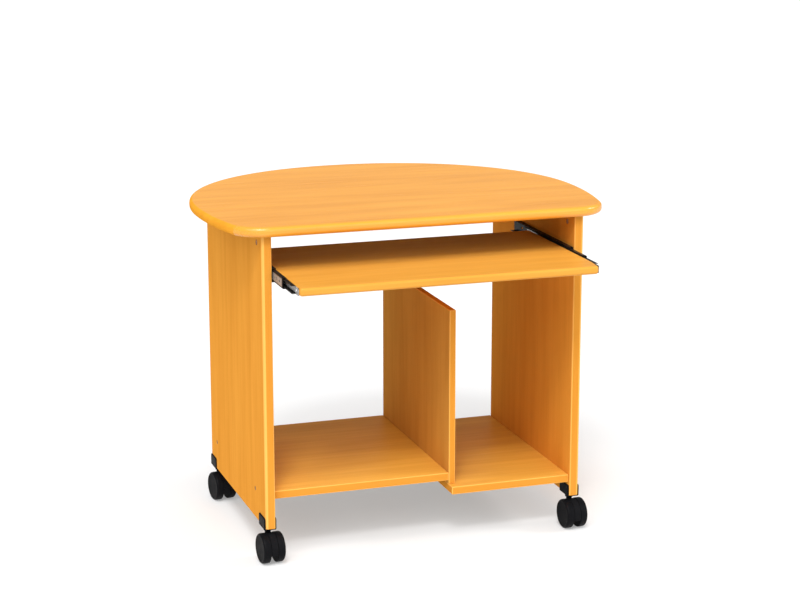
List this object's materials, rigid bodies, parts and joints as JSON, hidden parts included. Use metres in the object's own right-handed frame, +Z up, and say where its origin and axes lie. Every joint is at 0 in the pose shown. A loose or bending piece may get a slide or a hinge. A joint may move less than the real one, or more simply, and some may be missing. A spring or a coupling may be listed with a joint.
{
  "type": "mobile computer desk",
  "caption": "Beech-look computer desk on casters, with a round-backed top, a keyboard tray on telescopic slides, a low shelf and a partitioned bay for a computer.",
  "frame": {"origin": "on the floor, under the middle of the box that holds the desk with its tray drawn out", "axes": "+X to the right of a person at the desk, +Y to its round back, +Z up"},
  "size_m": [0.904, 0.859, 0.75],
  "materials": {
    "beech_top": "satin beech laminate, grain across the desk",
    "beech_side": "satin beech laminate, grain upright",
    "beech_shelf": "satin beech laminate, grain across the desk",
    "black_steel": "satin black coated sheet steel",
    "zinc_steel": "bright zinc plating",
    "black_plastic": "satin black moulding"
  },
  "bodies": {
    "frame": {"desktop": "beech_top", "left_side_panel": "beech_side", "right_side_panel": "beech_side", "partition": "beech_side", "left_shelf": "beech_shelf", "cpu_shelf": "beech_shelf", "back_rail": "beech_shelf", "left_slide_outer": "black_steel", "right_slide_outer": "black_steel", "front_left_caster_clip": "black_plastic", "front_left_caster_kingpin": "zinc_steel", "front_left_cam_barrel": "zinc_steel", "front_left_cam_stud": "zinc_steel", "front_right_caster_clip": "black_plastic", "front_right_caster_kingpin": "zinc_steel", "front_right_cam_barrel": "zinc_steel", "front_right_cam_stud": "zinc_steel", "rear_left_caster_clip": "black_plastic", "rear_left_caster_kingpin": "zinc_steel", "rear_left_cam_barrel": "zinc_steel", "rear_left_cam_stud": "zinc_steel", "rear_right_caster_clip": "black_plastic", "rear_right_caster_kingpin": "zinc_steel", "rear_right_cam_barrel": "zinc_steel", "rear_right_cam_stud": "zinc_steel", "left_panel_screw_front": "zinc_steel", "left_panel_screw_rear": "zinc_steel", "right_panel_screw_front": "zinc_steel", "right_panel_screw_rear": "zinc_steel", "partition_screw_front": "zinc_steel", "partition_screw_rear": "zinc_steel", "cpu_shelf_screw_front": "zinc_steel", "cpu_shelf_screw_rear": "zinc_steel"},
    "tray": {"keyboard_tray": "beech_shelf", "left_slide_inner": "zinc_steel", "right_slide_inner": "zinc_steel"},
    "left_middle_member": {"left_slide_middle": "zinc_steel", "left_slide_buffer": "black_plastic"},
    "left_outer_cage": {"left_outer_ball_cage": "zinc_steel"},
    "left_inner_cage": {"left_inner_ball_cage": "zinc_steel"},
    "right_middle_member": {"right_slide_middle": "zinc_steel", "right_slide_buffer": "black_plastic"},
    "right_outer_cage": {"right_outer_ball_cage": "zinc_steel"},
    "right_inner_cage": {"right_inner_ball_cage": "zinc_steel"},
    "front_left_swivel": {"front_left_caster_hood": "black_plastic", "front_left_caster_axle": "zinc_steel"},
    "front_left_left_wheel": {"front_left_caster_left_wheel": "black_plastic"},
    "front_left_right_wheel": {"front_left_caster_right_wheel": "black_plastic"},
    "front_right_swivel": {"front_right_caster_hood": "black_plastic", "front_right_caster_axle": "zinc_steel"},
    "front_right_left_wheel": {"front_right_caster_left_wheel": "black_plastic"},
    "front_right_right_wheel": {"front_right_caster_right_wheel": "black_plastic"},
    "rear_left_swivel": {"rear_left_caster_hood": "black_plastic", "rear_left_caster_axle": "zinc_steel"},
    "rear_left_left_wheel": {"rear_left_caster_left_wheel": "black_plastic"},
    "rear_left_right_wheel": {"rear_left_caster_right_wheel": "black_plastic"},
    "rear_right_swivel": {"rear_right_caster_hood": "black_plastic", "rear_right_caster_axle": "zinc_steel"},
    "rear_right_left_wheel": {"rear_right_caster_left_wheel": "black_plastic"},
    "rear_right_right_wheel": {"rear_right_caster_right_wheel": "black_plastic"}
  },
  "joints": [
    {"name": "tray_slide", "type": "slide", "parent": "frame", "child": "tray", "axis": [0, -1, 0], "range_m": [-0.168, 0.18]},
    {"name": "left_middle_member_travel", "type": "slide", "parent": "frame", "child": "left_middle_member", "axis": [0, -1, 0], "range_m": [-0.0841, 0.0901]},
    {"name": "left_outer_cage_travel", "type": "slide", "parent": "frame", "child": "left_outer_cage", "axis": [0, -1, 0], "range_m": [-0.0421, 0.0451]},
    {"name": "left_inner_cage_travel", "type": "slide", "parent": "frame", "child": "left_inner_cage", "axis": [0, -1, 0], "range_m": [-0.1261, 0.1351]},
    {"name": "right_middle_member_travel", "type": "slide", "parent": "frame", "child": "right_middle_member", "axis": [0, -1, 0], "range_m": [-0.0841, 0.0901]},
    {"name": "right_outer_cage_travel", "type": "slide", "parent": "frame", "child": "right_outer_cage", "axis": [0, -1, 0], "range_m": [-0.0421, 0.0451]},
    {"name": "right_inner_cage_travel", "type": "slide", "parent": "frame", "child": "right_inner_cage", "axis": [0, -1, 0], "range_m": [-0.1261, 0.1351]},
    {"name": "front_left_swivel_turn", "type": "hinge", "parent": "frame", "child": "front_left_swivel", "pos_m": [-0.357, -0.2335, 0.0747], "axis": [0, 0, 1], "continuous": true},
    {"name": "front_left_left_wheel_spin", "type": "hinge", "parent": "front_left_swivel", "child": "front_left_left_wheel", "pos_m": [-0.35574, -0.25146, 0.0335], "axis": [0.9976, 0.0698, 0], "continuous": true},
    {"name": "front_left_right_wheel_spin", "type": "hinge", "parent": "front_left_swivel", "child": "front_left_right_wheel", "pos_m": [-0.35574, -0.25146, 0.0335], "axis": [0.9976, 0.0698, 0], "continuous": true},
    {"name": "front_right_swivel_turn", "type": "hinge", "parent": "frame", "child": "front_right_swivel", "pos_m": [0.357, -0.2335, 0.0747], "axis": [0, 0, 1], "continuous": true},
    {"name": "front_right_left_wheel_spin", "type": "hinge", "parent": "front_right_swivel", "child": "front_right_left_wheel", "pos_m": [0.35763, -0.25149, 0.0335], "axis": [0.9994, 0.0349, 0], "continuous": true},
    {"name": "front_right_right_wheel_spin", "type": "hinge", "parent": "front_right_swivel", "child": "front_right_right_wheel", "pos_m": [0.35763, -0.25149, 0.0335], "axis": [0.9994, 0.0349, 0], "continuous": true},
    {"name": "rear_left_swivel_turn", "type": "hinge", "parent": "frame", "child": "rear_left_swivel", "pos_m": [-0.357, 0.2145, 0.0747], "axis": [0, 0, 1], "continuous": true},
    {"name": "rear_left_left_wheel_spin", "type": "hinge", "parent": "rear_left_swivel", "child": "rear_left_left_wheel", "pos_m": [-0.3545, 0.19667, 0.0335], "axis": [0.9903, 0.1392, 0], "continuous": true},
    {"name": "rear_left_right_wheel_spin", "type": "hinge", "parent": "rear_left_swivel", "child": "rear_left_right_wheel", "pos_m": [-0.3545, 0.19667, 0.0335], "axis": [0.9903, 0.1392, 0], "continuous": true},
    {"name": "rear_right_swivel_turn", "type": "hinge", "parent": "frame", "child": "rear_right_swivel", "pos_m": [0.357, 0.2145, 0.0747], "axis": [0, 0, 1], "continuous": true},
    {"name": "rear_right_left_wheel_spin", "type": "hinge", "parent": "rear_right_swivel", "child": "rear_right_left_wheel", "pos_m": [0.35512, 0.1966, 0.0335], "axis": [0.9945, -0.1045, 0], "continuous": true},
    {"name": "rear_right_right_wheel_spin", "type": "hinge", "parent": "rear_right_swivel", "child": "rear_right_right_wheel", "pos_m": [0.35512, 0.1966, 0.0335], "axis": [0.9945, -0.1045, 0], "continuous": true}
  ],
  "couplings": [
    {"joint": "left_middle_member_travel", "follows": "tray_slide", "ratio": 0.5},
    {"joint": "left_outer_cage_travel", "follows": "tray_slide", "ratio": 0.25},
    {"joint": "left_inner_cage_travel", "follows": "tray_slide", "ratio": 0.75},
    {"joint": "right_middle_member_travel", "follows": "tray_slide", "ratio": 0.5},
    {"joint": "right_outer_cage_travel", "follows": "tray_slide", "ratio": 0.25},
    {"joint": "right_inner_cage_travel", "follows": "tray_slide", "ratio": 0.75}
  ]
}
